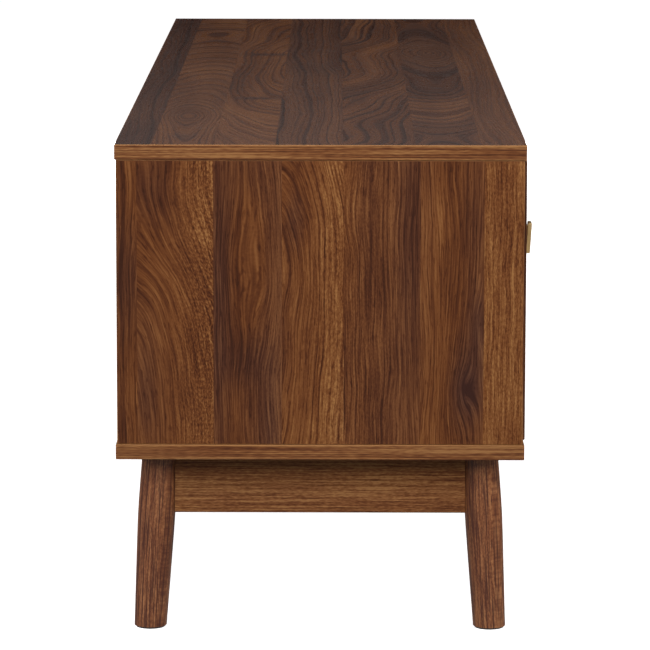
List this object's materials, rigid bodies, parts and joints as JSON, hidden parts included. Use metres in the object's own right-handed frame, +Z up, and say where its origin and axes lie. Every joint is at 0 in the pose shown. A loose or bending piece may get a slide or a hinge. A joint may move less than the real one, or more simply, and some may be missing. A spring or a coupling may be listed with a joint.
{
  "type": "television stand",
  "caption": "Low walnut television stand with hinged end cupboards, an open shelved middle bay and turned splayed legs.",
  "frame": {"origin": "on the floor, under the middle of the whole footprint with the pulls", "axes": "+X along the length to the viewer's right when facing the doors, +Z up, the doors face -Y"},
  "size_m": [1.5, 0.4276, 0.485],
  "materials": {
    "walnut_top": "satin walnut laminate, cooler and darker than the sides",
    "walnut_board": "satin walnut laminate in joined staves",
    "walnut_door": "satin walnut laminate, grain upright",
    "walnut_base": "stained walnut, satin lacquer",
    "hardboard": "walnut foil inside, plain brown outside",
    "beech": "plain",
    "brass": "satin brass",
    "steel": "bright zinc plate",
    "nylon": "off-white nylon",
    "black_plastic": "satin black"
  },
  "bodies": {
    "cabinet": {"top_panel": "walnut_top", "bottom_panel": "walnut_board", "side_panel_left": "walnut_board", "side_panel_right": "walnut_board", "partition_left": "walnut_board", "partition_right": "walnut_board", "back_panel": "hardboard", "back_nails": "steel", "cable_grommets": "black_plastic", "shelf_left": "walnut_board", "shelf_centre": "walnut_board", "shelf_right": "walnut_board", "shelf_pins": "steel", "dowels": "beech", "cam_locks": "steel", "cam_bolts": "steel", "confirmat_screws": "steel", "pivot_pins": "steel", "catch_housings": "nylon", "catch_magnets": "steel", "catch_screws": "steel", "leg_front_left": "walnut_base", "leg_front_right": "walnut_base", "leg_back_left": "walnut_base", "leg_back_right": "walnut_base", "foot_glides": "black_plastic", "leg_inserts": "steel", "leg_bolts": "steel", "apron_left": "walnut_base", "apron_right": "walnut_base", "rail_front": "walnut_base", "rail_back": "walnut_base", "base_dowels": "beech", "brackets": "steel", "bracket_screws": "steel"},
    "left_door": {"door_left": "walnut_door", "handle_left": "brass", "handle_screw_left": "steel", "pivot_bushes_left": "nylon", "strike_plate_left": "steel", "strike_screws_left": "steel"},
    "right_door": {"door_right": "walnut_door", "handle_right": "brass", "handle_screw_right": "steel", "pivot_bushes_right": "nylon", "strike_plate_right": "steel", "strike_screws_right": "steel"}
  },
  "joints": [
    {"name": "left_door_hinge", "type": "hinge", "parent": "cabinet", "child": "left_door", "pos_m": [-0.716, -0.17975, 0.33], "axis": [0, 0, -1], "range_deg": [0, 105]},
    {"name": "right_door_hinge", "type": "hinge", "parent": "cabinet", "child": "right_door", "pos_m": [0.716, -0.17975, 0.33], "axis": [0, 0, 1], "range_deg": [0, 105]}
  ]
}
